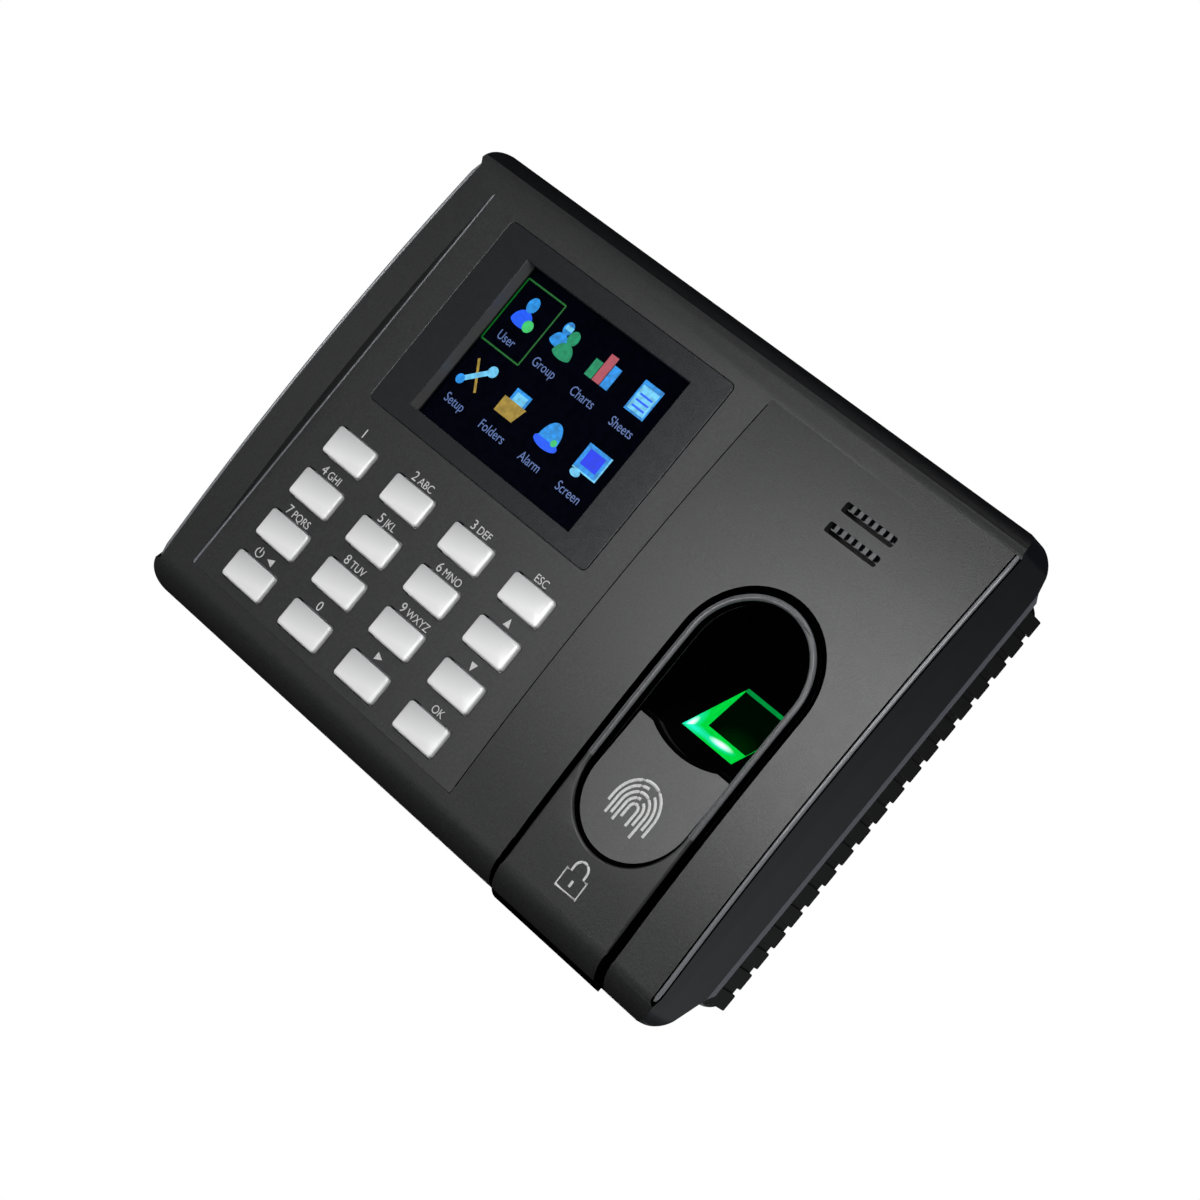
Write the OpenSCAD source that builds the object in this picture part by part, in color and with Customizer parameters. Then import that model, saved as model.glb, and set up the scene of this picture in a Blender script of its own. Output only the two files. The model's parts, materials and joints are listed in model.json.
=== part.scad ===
// Wall-mounted fingerprint terminal, in millimetres.
// X runs across the terminal to the viewer's right, Z up, and the front faces -Y.
// The origin lies on the wall plane, on the back of the steel wall plate.
// A depth, written d, is measured towards the wall from the flat front panel.

/* [Housing] */
// Width of the housing
body_w = 184; // [182:1:190]
// Height of the housing
body_h = 136.4; // [136:0.1:140]
// Distance from the wall to the flat front panel
panel_y = 34.4; // [34:0.1:36]
// How far the curved front stands proud of the flat panel at mid height
crown = 2.6; // [2.2:0.1:2.8]
// Radius of the curved front, seen from the side
crown_r = 640; // [600:10:700]
// Thickness of the plastic walls
wall = 2.4; // [2:0.1:2.5]
// Depth at which the side of the front shell ends
side_d = 20.6; // [20:0.1:21]
// Corner radius of the front outline
corner_r = 5; // [4:0.5:6]

/* [Screen] */
// Width of the screen bezel
bezel_w = 79.9; // [78:0.1:81]
// Height of the screen bezel
bezel_h = 55; // [54:0.1:56]
// Width of the window in the bezel
window_w = 58.5; // [56:0.1:60]
// Height of the window in the bezel
window_h = 44.5; // [42:0.1:46]
// Depth of the display glass
glass_d = 4.6; // [4.4:0.1:4.8]

/* [Keypad] */
// Spacing of the key columns
key_pitch_x = 22.05; // [21.5:0.05:22.5]
// Spacing of the key rows
key_pitch_z = 12.75; // [12.5:0.05:13]
// Width of a keycap
key_w = 14; // [12:0.1:14.5]
// Height of a keycap
key_h = 7.6; // [6.5:0.1:7.8]
// How far a keycap stands out of the panel
key_proud = 1.1; // [0.8:0.1:1.5]
// Gap around a keycap in its opening
key_gap = 0.35; // [0.3:0.05:0.45]

/* [Finger reader] */
// Distance of the finger well from the middle of the housing
well_x = 58; // [57:0.5:59]
// Radius of the arch-shaped groove around the well
arch_r = 19.7; // [19:0.1:20]
// Width of that groove
groove_w = 2.15; // [1.8:0.05:2.4]
// Radius of the round ends of the well
well_r = 15.9; // [15.5:0.1:16]
// Height of the centre of the upper end of the well
well_top_z = 5.8; // [5:0.1:6]
// Height of the centre of the lower end of the well
well_low_z = -30.6; // [-31:0.1:-30]
// How far the surround stands proud of the curved front
arch_proud = 1.05; // [0.8:0.05:1.2]
// Width of the glass prism
prism_w = 16.2; // [15:0.1:17]

/* [Wall plate] */
// Width of the steel wall plate
plate_w = 76; // [74:1:76]
// Lower edge of the wall plate
plate_low = -34; // [-35:0.5:-33]
// Upper edge of the wall plate
plate_top = 52; // [51:0.5:52]
// Thickness of the wall plate
plate_t = 1.5; // [1.2:0.1:1.6]
// Radius of the wall screw holes
wall_hole_r = 2.25; // [2:0.05:2.5]
// Horizontal spacing of the wall screw holes
wall_hole_x = 44; // [42:1:46]
// Vertical spacing of the wall screw holes
wall_hole_z = 73; // [72:1:74]

/* [Hidden] */
half_w = body_w / 2;
half_h = body_h / 2;
roll_top = 6.2;
roll_low = 7.4;
roll_top_z = half_h - roll_top;
roll_low_z = roll_low - half_h;
rear_d = panel_y - 1;

// Chamfers behind the rolls: the depth where each starts, the height where it meets the rear edge,
// and how far those two places move for each millimetre of inset
low_chamfer = [8.6, -53.5, -0.17, 1.2];
top_chamfer = [12.5, 57.5, -0.5, -1.66];

// Flat panel that holds the screen and the keys
panel_x0 = -81.5;
panel_x1 = 17.75;
panel_z0 = -58;
panel_z1 = 58.3;

// Screen, placed by the upper left corner of its bezel
bezel_x0 = -71.9;
bezel_x1 = bezel_x0 + bezel_w;
bezel_z1 = 55.2;
bezel_z0 = bezel_z1 - bezel_h;
bezel_lip = 0.85;
window_x0 = -60.8;
window_x1 = window_x0 + window_w;
window_z0 = 5.1;
window_z1 = window_z0 + window_h;
funnel = 3.6;
rim_x = 3.8;
rim_z = 2.8;
display_boss = [[-68.6, 6], [-68.6, 48], [5.6, 6], [5.6, 48]];

// Keypad
key_x0 = -65.4;
key_z0 = -13.1;
key_names = [
    "key_1", "key_2", "key_3", "key_esc",
    "key_4", "key_5", "key_6", "key_up",
    "key_7", "key_8", "key_9", "key_down",
    "key_power", "key_0", "key_right", "key_ok"
];
key_travel = 1;
key_flange = 0.9;
key_flange_d = wall + 0.2;
stem_end_d = key_flange_d + 2.9;
membrane_d = key_flange_d + 2.2;
switch_d = stem_end_d + key_travel + 0.15;
keyboard_d = switch_d + 1.8;
board_t = 1.6;
keypad_boss = [[-54.4, -19.45], [-10.3, -19.45], [-54.4, -45], [-10.3, -45]];

// Housing screws and the rear housing
case_boss = [[-82, 50], [82, 50], [-82, -50], [82, -50]];
rear_w = 177;
rear_h = 117.6;
rear_front_d = 14.5;
rear_wall = 2.2;
rear_corner = 6;
lift = 10;
recess_x = 40;
recess_low = plate_low - lift - 1.5;
recess_top = 54;
recess_d = 28.9;
outlet_x = [-18, 10];
outlet_z = [22, 38];
floor_t = 2;
rib_pitch = 6;
rib_w = 4.4;
rib_proud = 0.8;

// Main board
main_d = 16;
main_x0 = -74;
main_x1 = 34;
main_z0 = -56;
main_z1 = 46;
main_hole = [[-68, 40], [18, 43], [-68, -38], [28, -52]];
back_d = main_d + board_t;
cell_pos = [-58, 24];
beeper_pos = [24, -34];

// Sockets along the lower edge of the board: left side, right side and height above the board
network_port = [-60, -44, 13.4];
usb_port = [-30, -16, 7];
power_port = [-73, -64, 11];
socket_z = -58;

// Finger reader behind the front
pocket_deep = 2.8;
slope = 0.875;
platen_z0 = -12.1;
platen_z1 = 2.3;
platen_d0 = 5.8;
platen_d1 = platen_d0 + slope * (platen_z1 - platen_z0);
head_low = -18.5;
head_top = 25;
head_back = 24.2;
head_half = 17.5;
lens_z = -5;

// Speaker
speaker_x = 58.6;
speaker_z = 45.2;
speaker_r = 13;
slot_w = 16;
slot_h = 2.8;
slot_pitch = 5.7;

// Wall plate details
hook_x = 30;
hook_z = [-22, 36];
hook_w = 8;
hook_reach = 7.9;
hook_finger = 8;
cable_x = 20;
cable_z0 = 12;
cable_z1 = 40;
tail_w = 16;
lock_y = 8;
lock_z = -(rear_h / 2) - 0.4;
tamper_x = 14;
tamper_z = 18;

// ---------- placing helpers ----------

// Extrudes an outline drawn in X and Z from depth d0 to depth d1.
module slab(d0, d1)
    translate([0, d1 - panel_y, 0])
        rotate([90, 0, 0])
            linear_extrude(d1 - d0)
                children();

// A box given by its limits in X, Z and depth.
module block(x0, x1, z0, z1, d0, d1)
    translate([x0, d0 - panel_y, z0])
        cube([x1 - x0, d1 - d0, z1 - z0]);

// A cylinder whose axis runs towards the wall.
module peg(x, z, r, d0, d1, sides = 48)
    translate([x, d0 - panel_y, z])
        rotate([-90, 0, 0])
            cylinder(r = r, h = d1 - d0, $fn = sides);

// Extrudes a side view, drawn in depth and Z, from x0 to x1.
module side_view(x0, x1)
    translate([x0, -panel_y, 0])
        rotate([90, 0, 90])
            linear_extrude(x1 - x0)
                children();

// A rectangle with round corners, made of true arcs.
module round_rect(x0, x1, z0, z1, r) {
    translate([x0 + r, z0]) square([x1 - x0 - 2 * r, z1 - z0]);
    translate([x0, z0 + r]) square([x1 - x0, z1 - z0 - 2 * r]);
    for (x = [x0 + r, x1 - r], z = [z0 + r, z1 - r])
        translate([x, z]) circle(r = r, $fn = 48);
}

// Points along an arc, from angle a0 to angle a1.
function arc(cx, cz, r, a0, a1, steps) =
    [for (i = [0:steps]) let (a = a0 + (a1 - a0) * i / steps) [cx + r * cos(a), cz + r * sin(a)]];

// ---------- outlines ----------

// The curved front in side view, moved inwards by inset, from near the top round the lower roll.
function front_curve(inset) = concat(
    [for (i = [1:23]) let (z = roll_top_z + (roll_low_z - roll_top_z) * i / 24)
        [crown_r - crown - sqrt(pow(crown_r - inset, 2) - z * z), z]],
    arc(roll_low + 0.2, roll_low_z, roll_low - inset, 180, 270, 10)
);

function reversed(points) = [for (i = [len(points) - 1:-1:0]) points[i]];

// Side view of the front shell, shrunk by inset all round.
module shell_side(inset) {
    top = half_h - inset;
    back = side_d + (inset > 0 ? 10 : 0);
    low_end = low_chamfer[1] + low_chamfer[3] * inset;
    top_end = top_chamfer[1] + top_chamfer[3] * inset;
    polygon(concat(
        arc(roll_top + 0.4, roll_top_z, roll_top - inset, 90, 180, 8),
        front_curve(inset),
        [[low_chamfer[0] + low_chamfer[2] * inset, -top], [side_d, low_end], [back, low_end]],
        [[back, top_end], [side_d, top_end], [top_chamfer[0] + top_chamfer[2] * inset, top]]
    ));
}

// The arch: a half round top on straight legs down to z_low.
module arch(r, z_low) {
    translate([well_x, well_top_z]) circle(r = r, $fn = 96);
    translate([well_x - r, z_low]) square([2 * r, well_top_z - z_low]);
}

// The well: round at both ends.
module well(r) {
    for (z = [well_top_z, well_low_z])
        translate([well_x, z]) circle(r = r, $fn = 96);
    translate([well_x - r, well_low_z]) square([2 * r, well_top_z - well_low_z]);
}

// Positions of the sixteen keys.
function key_pos(i) = [key_x0 + key_pitch_x * (i % 4), key_z0 - key_pitch_z * floor(i / 4)];

// Outline of one key, grown by g all round.
module key_outline(i, g)
    translate(key_pos(i))
        round_rect(-key_w / 2 - g, key_w / 2 + g, -key_h / 2 - g, key_h / 2 + g, 0.9 + g);

// ---------- housing ----------

module front_shell() color("#3b3d42") difference() {
    union() {
        difference() {
            shell_solid();
            shell_cavity();
        }
        for (p = case_boss) peg(p[0], p[1], 3.5, 1.2, 20.2);
        for (p = keypad_boss) peg(p[0], p[1], 2.2, 1, keyboard_d);
        for (p = display_boss) peg(p[0], p[1], 2.2, 1, glass_d + 3);
        peg(speaker_x, speaker_z, speaker_r + 1.5, 1.6, 3);
    }
    block(panel_x0, panel_x1, panel_z0, panel_z1, -5, 0);
    slab(-1, bezel_lip) round_rect(bezel_x0, bezel_x1, bezel_z0, bezel_z1, 1.5);
    block(window_x0 - funnel, window_x1 + funnel, window_z0 - funnel, window_z1 + funnel, 0, 4);
    for (i = [0:15]) slab(-1, 4) key_outline(i, key_gap);
    arch_pocket(arch_r);
    slab(-6, 8) well(well_r);
    for (z = [speaker_z - slot_pitch / 2, speaker_z + slot_pitch / 2])
        slab(-5, 6) round_rect(speaker_x - slot_w / 2, speaker_x + slot_w / 2,
                               z - slot_h / 2, z + slot_h / 2, 0.6);
    peg(speaker_x, speaker_z, speaker_r - 2, 1.6, 4);
    for (p = case_boss) peg(p[0], p[1], 1.5, 8, 21);
    for (p = keypad_boss) peg(p[0], p[1], 0.9, 3, 20);
    for (p = display_boss) peg(p[0], p[1], 0.9, 3, 20);
    slab(rear_front_d - 0.3, 40) round_rect(-rear_w / 2 - 0.2, rear_w / 2 + 0.2,
                                            -rear_h / 2 - 0.2, rear_h / 2 + 0.2, rear_corner);
}

// The closed outer form of the front shell.
module shell_solid() intersection() {
    side_view(-half_w, half_w) shell_side(0);
    slab(-6, 30) round_rect(-half_w, half_w, -half_h, half_h, corner_r);
}

// The arch-shaped pocket that the surround sits in, pocket_deep below the curved front.
module arch_pocket(r) intersection() {
    slab(-8, 8) arch(r, -80);
    side_view(well_x - r - 1, well_x + r + 1)
        polygon(concat(front_curve(pocket_deep), [[roll_low + 0.2, -80], [-8, -80], [-8, 50]]));
}

// The hollow inside the shell, which leaves more plastic behind the panel and the pocket.
module shell_cavity() difference() {
    side_view(-half_w + wall, half_w - wall) shell_side(wall);
    block(panel_x0 - wall, panel_x1 + wall, panel_z0 - wall, panel_z1 + wall, -5, wall);
    intersection() {
        slab(-6, 10) arch(arch_r + wall, -70);
        side_view(well_x - 25, well_x + 25)
            polygon(concat(front_curve(1), [[10, 1 - half_h], [10, pocket_deep + wall - half_h]],
                           reversed(front_curve(pocket_deep + wall))));
    }
}

module rear_housing() color("#17181a") difference() {
    union() {
        slab(rear_front_d, rear_d)
            round_rect(-rear_w / 2, rear_w / 2, -rear_h / 2, rear_h / 2, rear_corner);
        for (side = [-1, 1], n = [-9:9])
            translate([side * (rear_w / 2 + rib_proud / 2 - 0.2), 0, n * rib_pitch])
                block(-rib_proud / 2 - 0.2, rib_proud / 2 + 0.2, -rib_w / 2, rib_w / 2, side_d + 1, rear_d);
    }
    difference() {
        slab(rear_front_d - 1, rear_d - floor_t)
            round_rect(-rear_w / 2 + rear_wall, rear_w / 2 - rear_wall,
                       -rear_h / 2 + rear_wall, rear_h / 2 - rear_wall, rear_corner - 2);
        block(-recess_x - floor_t, recess_x + floor_t, recess_low - floor_t, recess_top + floor_t,
              recess_d - floor_t, 40);
        block(-tail_w / 2 - 3, tail_w / 2 + 3, -60, recess_low, rear_d - 4, 40);
        for (p = case_boss) peg(p[0], p[1], 4.5, 20.4, 40);
        for (p = main_hole) peg(p[0], p[1], 2.6, back_d, 40);
        translate([0, -lock_y, -60]) cylinder(r = 4, h = 11, $fn = 48);
    }
    block(-recess_x, recess_x, recess_low, recess_top, recess_d, 40);
    block(-tail_w / 2 - 1, tail_w / 2 + 1, -60, recess_low + 1, rear_d - 2, 40);
    for (x = [-hook_x, hook_x], z = hook_z)
        block(x - hook_w / 2 - 0.8, x + hook_w / 2 + 0.8, z - lift - 0.5, z + plate_t + 0.4, 20, 40);
    block(outlet_x[0], outlet_x[1], outlet_z[0], outlet_z[1], 20, 40);
    peg(tamper_x, tamper_z, 2.3, 20, 40);
    translate([0, -lock_y, -61]) cylinder(r = 1.6, h = 14, $fn = 48);
    for (p = case_boss) {
        peg(p[0], p[1], 1.7, 20, 40);
        peg(p[0], p[1], 3.2, 24, 40);
    }
    for (p = main_hole) peg(p[0], p[1], 1.2, main_d, 26);
    for (p = [network_port, usb_port, power_port])
        block(p[0] - 0.2, p[1] + 0.2, socket_z - 2, socket_z + 3, back_d - 0.2, back_d + p[2] + 0.2);
}

module seam_gasket() color("#202020") slab(rear_front_d - 1.5, rear_front_d - 0.3) difference() {
    round_rect(-rear_w / 2 + 0.2, rear_w / 2 - 0.2, -rear_h / 2 + 1.4, rear_h / 2 - 1.4, rear_corner);
    round_rect(-rear_w / 2 + 1.6, rear_w / 2 - 1.6, -rear_h / 2 + 2.8, rear_h / 2 - 2.8, rear_corner - 1);
}

module housing_screws() color("silver") for (p = case_boss) {
    peg(p[0], p[1], 1.45, 10, 24);
    peg(p[0], p[1], 2.8, 24, 26);
}

// ---------- screen ----------

module screen_bezel() color("#4c4e53") difference() {
    union() {
        slab(-0.15, bezel_lip) round_rect(bezel_x0 + 0.1, bezel_x1 - 0.1,
                                          bezel_z0 + 0.1, bezel_z1 - 0.1, 1.4);
        block(window_x0 - funnel + 0.1, window_x1 + funnel - 0.1,
              window_z0 - funnel + 0.1, window_z1 + funnel - 0.1, bezel_lip, glass_d - 0.8);
    }
    block(window_x0, window_x1, window_z0, window_z1, -1, glass_d);
}

// Outline of the display module, which reaches behind the rim of the window, grown by g.
module display_outline(g) round_rect(window_x0 - rim_x - g, window_x1 + rim_x + g,
                                     window_z0 - rim_z - g, window_z1 + rim_z + g, 0.6);

module display_gasket() color("#1c1c1c") slab(glass_d - 0.8, glass_d) difference() {
    display_outline(-0.4);
    translate([window_x0 - 0.2, window_z0 - 0.2]) square([window_w + 0.4, window_h + 0.4]);
}

module display_glass() color("#05070c") slab(glass_d, glass_d + 1.2) display_outline(0);

module display_frame() color("#b9bcc0") slab(glass_d + 1.2, glass_d + 3) display_outline(0);

module display_holder() color("#222222") difference() {
    slab(glass_d + 3, glass_d + 4.2) difference() {
        round_rect(-72, 9, 2, 52.6, 2);
        round_rect(-56, -7, 10, 44, 2);
    }
    for (p = display_boss) peg(p[0], p[1], 1.1, 5, 12);
}

module display_ribbon() color("#c98a2b") {
    block(-42, -22, 12, 30, glass_d + 3, glass_d + 3.3);
    block(-42, -22, 30, 30.3, glass_d + 3, main_d - 1.2);
    block(-42, -22, 26, 33, main_d - 1.2, main_d);
}

// ---------- keypad ----------

module keycap(i) color("#d9dadc") {
    slab(-key_proud, key_flange_d) key_outline(i, 0);
    slab(key_flange_d, key_flange_d + 1) key_outline(i, key_flange);
    peg(key_pos(i)[0], key_pos(i)[1], 1.4, key_flange_d + 1, stem_end_d);
}

module key_membrane() color("#8b8f94") slab(membrane_d, membrane_d + 0.6) difference() {
    round_rect(-76, 11, -57, -7, 2);
    for (i = [0:15]) translate(key_pos(i)) circle(r = 1.8, $fn = 32);
    for (p = keypad_boss) translate(p) circle(r = 2.5, $fn = 32);
}

module key_switches() color("#2a2a2a") for (i = [0:15]) let (p = key_pos(i)) {
    block(p[0] - 3, p[0] + 3, p[1] - 3, p[1] + 3, switch_d + 0.5, keyboard_d);
    peg(p[0], p[1], 1.5, switch_d, switch_d + 0.5);
}

module keypad_board() color("#1d5a2e") slab(keyboard_d, keyboard_d + board_t) difference() {
    round_rect(-77, 12, -57, -7, 2);
    for (p = keypad_boss) translate(p) circle(r = 1.1, $fn = 32);
}

module keypad_ribbon() color("#c98a2b") {
    block(-40, -25, -11, -8, keyboard_d + board_t, keyboard_d + board_t + 1.5);
    block(-39, -26, -10.3, -10, keyboard_d + board_t + 1.5, main_d - 1.5);
    block(-40, -25, -11, -8, main_d - 1.5, main_d);
}

// ---------- finger reader ----------

module reader_surround() color("#45474c") difference() {
    intersection() {
        side_view(well_x - 20, well_x + 20)
            polygon(concat(front_curve(-arch_proud), reversed(front_curve(pocket_deep))));
        slab(-6, 8) arch(arch_r - groove_w, -80);
    }
    slab(-8, 9) well(well_r);
}

module finger_guide() color("#45474c") intersection() {
    side_view(well_x - 16, well_x + 16)
        polygon([[-0.4, -10], [-1.35, -47], [4.4, -47], [4.4, -19], [3.2, -19], [3.2, -10]]);
    slab(-6, 6) difference() {
        well(well_r - 0.15);
        translate([well_x - 20, -14.6]) square([40, 60]);
        translate([well_x, 7]) circle(r = 24, $fn = 96);
    }
}

module reader_housing() color("#0b0b0c") difference() {
    union() {
        block(well_x - head_half, well_x + head_half, head_low, head_top, 3.3, head_back);
        block(well_x - head_half, well_x + head_half, -48.5, head_low, 4.5, 6.5);
        block(well_x - head_half, well_x + head_half, -22, head_low, 4.5, 10);
    }
    side_view(well_x - well_r, well_x + well_r) polygon([
        [0, 21.7], [13, 21.7], [head_back - 2, platen_z1 + (head_back - 2 - platen_d1) / slope],
        [1, platen_z0 - (platen_d0 - 1) / slope], [0, platen_z0 - (platen_d0 - 1) / slope]
    ]);
    prism_room();
    block(well_x - 7, well_x + 7, -17, -12.15, 8, 19.2);
    peg(well_x, lens_z, 4.6, 18, 30);
}

// The space behind the sloping window that the prism and the lamps sit in.
module prism_room() side_view(well_x - prism_w / 2 - 0.1, well_x + prism_w / 2 + 0.1)
    prism_side(0.1);

// Side view of the prism: a right triangle with its long side on the slope.
module prism_side(g) polygon([
    [platen_d0 - 2 * g, platen_z0 - g], [platen_d1 + 1 + g, platen_z0 - g],
    [platen_d1 + 1 + g, platen_z1 + (1 + 3 * g) / slope], [platen_d1, platen_z1 + 2 * g]
]);

module reader_prism() color("#20c060", 0.8)
    side_view(well_x - prism_w / 2, well_x + prism_w / 2) prism_side(0);

module reader_lens() color("#101010") difference() {
    peg(well_x, lens_z, 4.5, 19.6, head_back);
    peg(well_x, lens_z, 2, 19, 21);
}

module reader_lamps() color("#d8ffe0") for (dx = [-5.2, -1.8, 1.8, 5.2])
    block(well_x + dx - 1, well_x + dx + 1, -16, -12.8, 11.5, 13.5);

module reader_board() color("#14402a") slab(head_back, head_back + board_t)
    round_rect(well_x - 15, well_x + 15, head_low, head_top, 2);

module reader_ribbon() color("#c98a2b") {
    block(34.5, 46, 0, 14, head_back + board_t, head_back + board_t + 0.4);
    block(34.5, 34.9, 0, 14, back_d + 0.4, head_back + board_t);
    block(24, 34.9, 0, 14, back_d, back_d + 0.4);
}

// ---------- main board ----------

module main_board() color("#1d5a2e") slab(main_d, back_d) difference() {
    round_rect(main_x0, main_x1, main_z0, main_z1, 2);
    for (p = main_hole) translate(p) circle(r = 1.5, $fn = 32);
}

module processor_can() color("#c4c7ca") slab(main_d - 3, main_d) round_rect(-16, 12, 4, 32, 1);

module main_chips() color("#151515") {
    for (x = [-66, -52, -38], z = [-20, -34]) block(x, x + 10, z, z + 8, back_d, back_d + 1.4);
    block(14, 28, -20, -4, back_d, back_d + 1.2);
}

module cell_holder() color("#1a1a1a") slab(back_d, back_d + 4.6) difference() {
    translate(cell_pos) circle(r = 12, $fn = 64);
    translate(cell_pos) circle(r = 10.2, $fn = 64);
    translate(cell_pos + [-4, 9]) square([8, 6]);
}

module coin_cell() color("#cfd1d4") peg(cell_pos[0], cell_pos[1], 10, back_d, back_d + 3.2, 64);

module beeper() color("#111111") difference() {
    peg(beeper_pos[0], beeper_pos[1], 6, main_d - 8, main_d);
    peg(beeper_pos[0], beeper_pos[1], 1, main_d - 9, main_d - 6);
}

module relay() color("#1e4f8f") block(-66, -51, -2, 5.5, back_d, back_d + 9);

module cable_headers() color("#e8e4d8") for (x = [-17, -8, 1]) difference() {
    block(x, x + 8, 26, 34, back_d, back_d + 7);
    block(x + 0.8, x + 7.2, 27.4, 32.6, back_d + 1, back_d + 8);
}

// A socket with a rectangular mouth at the bottom of the terminal, deep into the housing.
module socket(p, deep, mouth_w, mouth_low, mouth_high) difference() {
    middle = (p[0] + p[1]) / 2;
    block(p[0], p[1], socket_z, socket_z + deep, back_d, back_d + p[2]);
    block(middle - mouth_w / 2, middle + mouth_w / 2, socket_z - 1, socket_z + deep - 3,
          back_d + mouth_low, back_d + mouth_high);
}

module network_socket() color("#b9bcc0") socket(network_port, 18, 11.8, 2, 10);

module usb_socket() color("#b9bcc0") {
    socket(usb_port, 14, 12.4, 0.9, 6.1);
    block(usb_port[0] + 1.8, usb_port[1] - 1.8, socket_z + 1, socket_z + 10.5, back_d + 2.4, back_d + 4);
}

module power_socket() color("#151515") difference() {
    block(power_port[0], power_port[1], socket_z, socket_z + 14, back_d, back_d + power_port[2]);
    translate([(power_port[0] + power_port[1]) / 2, back_d + power_port[2] / 2 - panel_y, socket_z - 1])
        cylinder(r = 2.75, h = 11, $fn = 48);
}

module board_screws() color("silver") {
    for (p = main_hole) {
        peg(p[0], p[1], 1.15, main_d - 0.4, 24);
        peg(p[0], p[1], 2.4, main_d - 1.8, main_d);
    }
    for (p = keypad_boss) {
        peg(p[0], p[1], 0.85, keyboard_d - 4, keyboard_d + board_t);
        peg(p[0], p[1], 1.8, keyboard_d + board_t, keyboard_d + board_t + 1.2);
    }
    for (p = display_boss) {
        peg(p[0], p[1], 0.85, glass_d, glass_d + 4.2);
        peg(p[0], p[1], 1.8, glass_d + 4.2, glass_d + 5.4);
    }
}

// ---------- speaker ----------

module speaker_gasket() color("#262626") slab(3, 3.6) difference() {
    translate([speaker_x, speaker_z]) circle(r = speaker_r, $fn = 64);
    translate([speaker_x, speaker_z]) circle(r = speaker_r - 2, $fn = 64);
}

module speaker() color("#3a3a3a") difference() {
    union() {
        peg(speaker_x, speaker_z, speaker_r, 3.6, 6, 64);
        peg(speaker_x, speaker_z, 7, 6, 9.5, 64);
    }
    translate([speaker_x, 3.6 - panel_y, speaker_z])
        rotate([-90, 0, 0])
            cylinder(r1 = speaker_r - 2, r2 = 4, h = 1.8, $fn = 64);
}

// ---------- tamper switch ----------

module tamper_switch() color("#1a1a1a") difference() {
    block(tamper_x - 4.5, tamper_x + 4.5, tamper_z - 4.5, tamper_z + 4.5, back_d, 23.6);
    peg(tamper_x, tamper_z, 2, back_d + 1, 25);
}

module tamper_spring() color("silver") difference() {
    peg(tamper_x, tamper_z, 1.7, back_d + 1, back_d + 2.2);
    peg(tamper_x, tamper_z, 1.2, back_d, back_d + 3);
}

module tamper_plunger() color("#e6e6e6") peg(tamper_x, tamper_z, 1.9, back_d + 4, panel_y - 0.4);

// ---------- wall side ----------

module wall_plate() color("#9a9da1") difference() {
    union() {
        translate([0, plate_t, 0]) slab(panel_y - 2 * plate_t, panel_y - plate_t)
            round_rect(-plate_w / 2, plate_w / 2, plate_low, plate_top, 4);
        block(-tail_w / 2, tail_w / 2, lock_z - plate_t, plate_low + 1, panel_y - plate_t, panel_y);
        block(-tail_w / 2, tail_w / 2, lock_z - plate_t, lock_z, panel_y - 14, panel_y);
        for (x = [-hook_x, hook_x], z = hook_z) {
            block(x - hook_w / 2, x + hook_w / 2, z, z + plate_t, panel_y - plate_t - hook_reach, panel_y);
            block(x - hook_w / 2, x + hook_w / 2, z, z + hook_finger,
                  panel_y - plate_t - hook_reach, panel_y - hook_reach);
        }
    }
    slab(panel_y - 3, panel_y + 1) round_rect(-cable_x, cable_x, cable_z0, cable_z1, 2);
    for (x = [-wall_hole_x / 2, wall_hole_x / 2], z = [-wall_hole_z / 2, wall_hole_z / 2])
        peg(x, (plate_low + plate_top) / 2 + z, wall_hole_r, panel_y - 3, panel_y + 1);
    translate([0, -lock_y, lock_z - 3]) cylinder(r = 1.7, h = 6, $fn = 48);
}

module lock_screw() color("silver") translate([0, -lock_y, 0]) difference() {
    union() {
        translate([0, 0, lock_z - plate_t - 2]) cylinder(r = 2.8, h = 2, $fn = 48);
        translate([0, 0, lock_z - plate_t - 1]) cylinder(r = 1.5, h = 12, $fn = 48);
    }
    translate([-0.4, -2, lock_z - plate_t - 3]) cube([0.8, 4, 2]);
    translate([-2, -0.4, lock_z - plate_t - 3]) cube([4, 0.8, 2]);
}

wall_plate();
lock_screw();
front_shell();
rear_housing();
seam_gasket();
screen_bezel();
display_gasket();
display_glass();
display_frame();
display_holder();
display_ribbon();
for (i = [0:15]) keycap(i);
key_membrane();
key_switches();
keypad_board();
keypad_ribbon();
reader_surround();
finger_guide();
reader_housing();
reader_prism();
reader_lens();
reader_lamps();
reader_board();
reader_ribbon();
main_board();
processor_can();
main_chips();
cell_holder();
coin_cell();
beeper();
relay();
cable_headers();
network_socket();
usb_socket();
power_socket();
speaker_gasket();
speaker();
tamper_switch();
tamper_spring();
tamper_plunger();
housing_screws();
board_screws();
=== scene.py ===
"""Looks of a wall-mounted fingerprint terminal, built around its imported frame.

Lengths are written in millimetres and turned into metres by MM. A depth is measured towards the
wall from the flat front panel, as in the design. X runs to the viewer's right and Z up.
"""
import json
import math

import bmesh
import bpy
from mathutils import Matrix, Vector
from mathutils.bvhtree import BVHTree

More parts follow.
